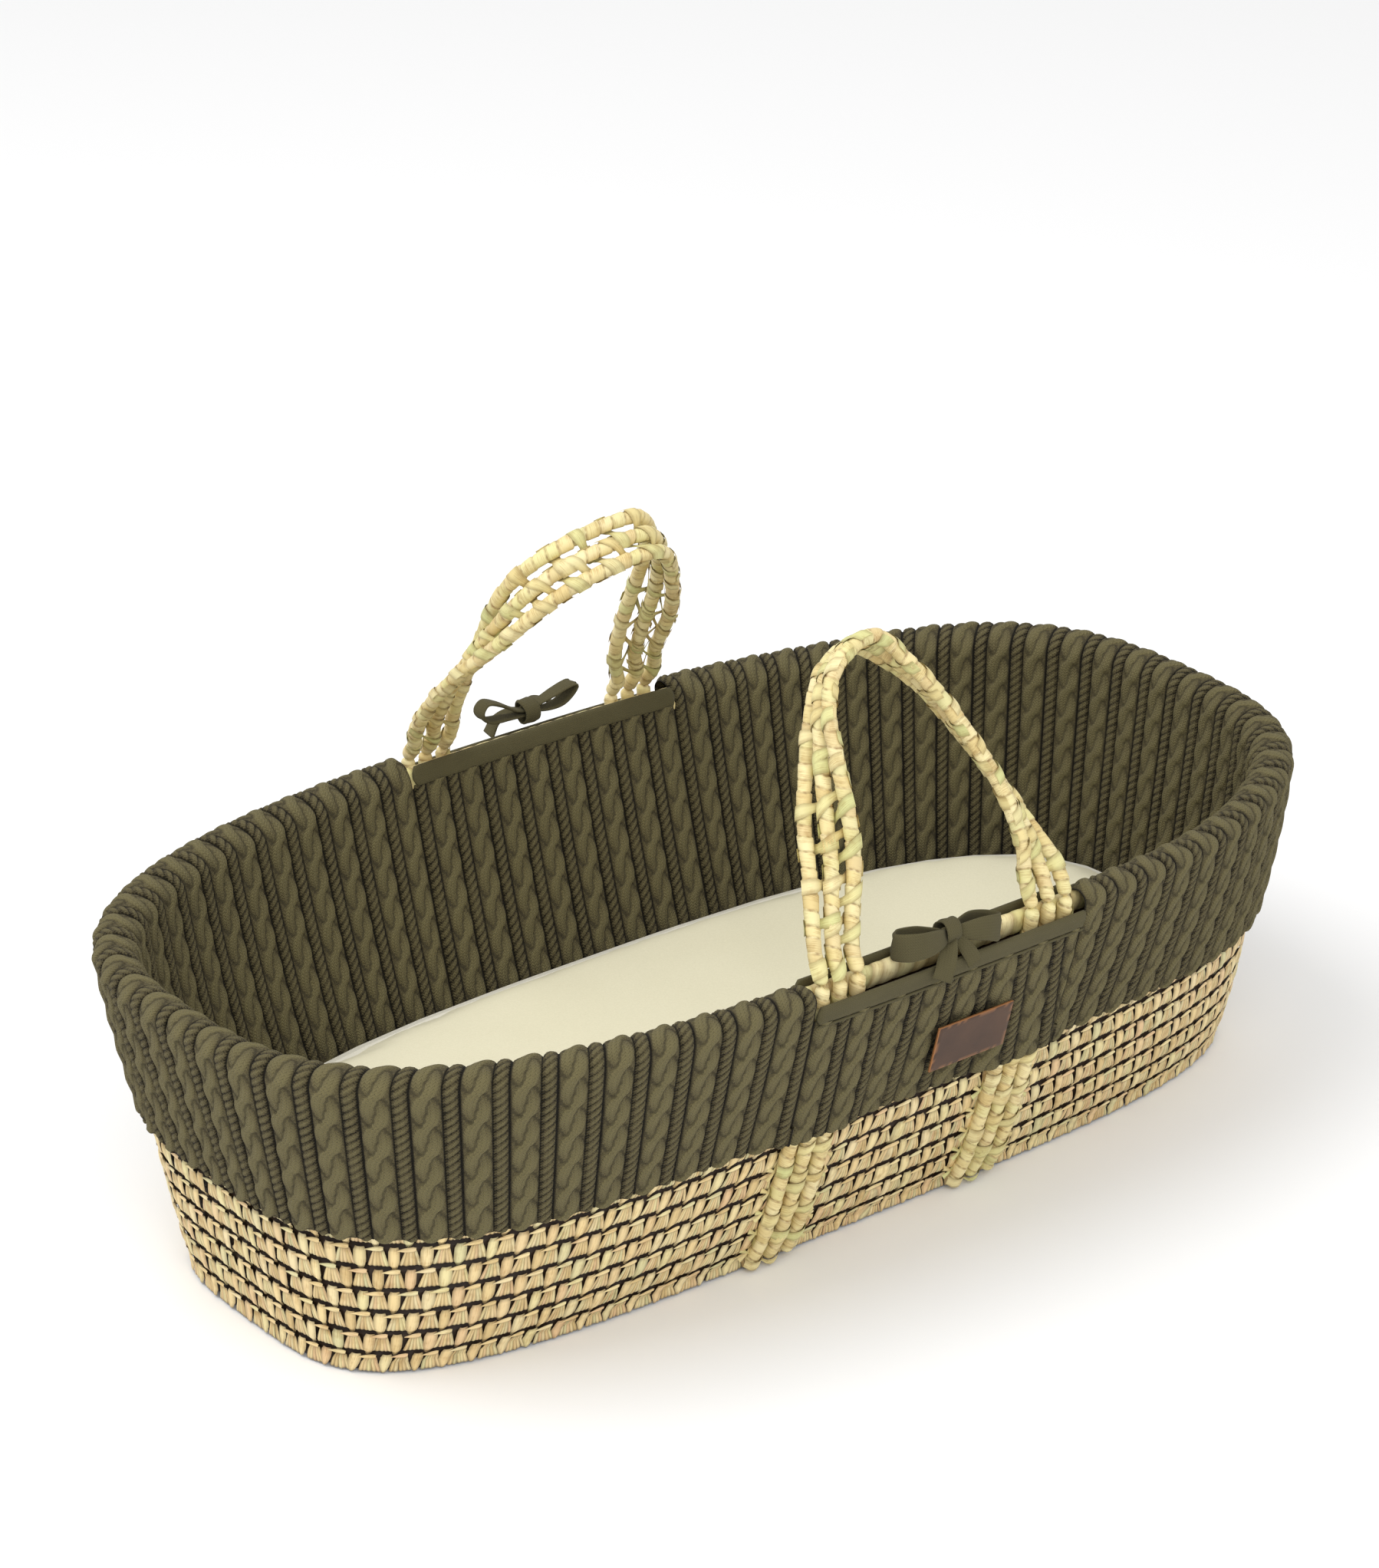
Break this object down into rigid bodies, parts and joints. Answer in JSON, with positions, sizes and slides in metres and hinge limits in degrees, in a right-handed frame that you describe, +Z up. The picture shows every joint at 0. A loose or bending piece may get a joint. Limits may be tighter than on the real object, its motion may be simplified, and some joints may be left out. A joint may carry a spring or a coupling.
{
  "type": "moses basket",
  "caption": "Oval palm-leaf carrying basket with a cable-knit liner turned over its rim, two laced loop handles, tie bows and a mattress in a fitted sheet.",
  "frame": {"origin": "on the floor, under the middle of the basket's box", "axes": "+X along the basket towards the head end, +Y towards the rear handle's side, +Z up"},
  "size_m": [0.8422, 0.4626, 0.4171],
  "materials": {
    "palm_leaf": "coiled palm leaf, matt",
    "wrapped_cord": "palm-leaf cord wrapped in flat leaf, matt",
    "leaf_lacing": "split palm leaf, matt",
    "cable_knit": "olive cotton cable knit",
    "olive_jersey": "olive cotton jersey",
    "elastic": "woven elastic",
    "leather": "plain brown leather with pale cut edges",
    "wadding": "natural fibre wadding",
    "cover_cloth": "quilted cotton",
    "cream_jersey": "cream cotton jersey"
  },
  "bodies": {
    "basket": {"base_panel": "palm_leaf", "wall_course_01": "palm_leaf", "wall_course_02": "palm_leaf", "wall_course_03": "palm_leaf", "wall_course_04": "palm_leaf", "wall_course_05": "palm_leaf", "wall_course_06": "palm_leaf", "wall_course_07": "palm_leaf", "wall_course_08": "palm_leaf", "wall_course_09": "palm_leaf", "wall_course_10": "palm_leaf", "wall_course_11": "palm_leaf", "wall_course_12": "palm_leaf", "rim_course": "wrapped_cord", "front_left_strap_cords": "wrapped_cord", "front_left_strap_lacing": "leaf_lacing", "front_right_strap_cords": "wrapped_cord", "front_right_strap_lacing": "leaf_lacing", "rear_left_strap_cords": "wrapped_cord", "rear_left_strap_lacing": "leaf_lacing", "rear_right_strap_cords": "wrapped_cord", "rear_right_strap_lacing": "leaf_lacing", "strap_lashings": "leaf_lacing", "cover_head_end": "cable_knit", "cover_foot_end": "cable_knit", "lining_front_centre": "cable_knit", "lining_rear_centre": "cable_knit", "skirt_front_centre": "cable_knit", "skirt_rear_centre": "cable_knit", "lining_base": "olive_jersey", "hem_elastic": "elastic", "front_outer_binding": "olive_jersey", "front_inner_binding": "olive_jersey", "rear_outer_binding": "olive_jersey", "rear_inner_binding": "olive_jersey", "front_bow_knot": "olive_jersey", "front_bow_loops": "olive_jersey", "front_bow_tails": "olive_jersey", "rear_bow_knot": "olive_jersey", "rear_bow_loops": "olive_jersey", "rear_bow_tails": "olive_jersey", "leather_patch": "leather"},
    "front_handle": {"front_handle_outer_cord": "wrapped_cord", "front_handle_middle_cord": "wrapped_cord", "front_handle_inner_cord": "wrapped_cord", "front_handle_lacing": "leaf_lacing"},
    "rear_handle": {"rear_handle_outer_cord": "wrapped_cord", "rear_handle_middle_cord": "wrapped_cord", "rear_handle_inner_cord": "wrapped_cord", "rear_handle_lacing": "leaf_lacing"},
    "mattress": {"mattress_core": "wadding", "mattress_cover_top": "cover_cloth", "mattress_cover_bottom": "cover_cloth", "fitted_sheet": "cream_jersey", "sheet_elastic": "elastic"}
  },
  "joints": [
    {"name": "front_handle_fold", "type": "hinge", "parent": "basket", "child": "front_handle", "pos_m": [0.0075, -0.2135, 0.2279], "axis": [1, 0, 0], "range_deg": [-39, 132]},
    {"name": "rear_handle_fold", "type": "hinge", "parent": "basket", "child": "rear_handle", "pos_m": [0.0075, 0.2135, 0.2279], "axis": [-1, 0, 0], "range_deg": [-26, 144]},
    {"name": "mattress_lift", "type": "slide", "parent": "basket", "child": "mattress", "axis": [0, 0, 1], "range_m": [0, 0.13]}
  ]
}
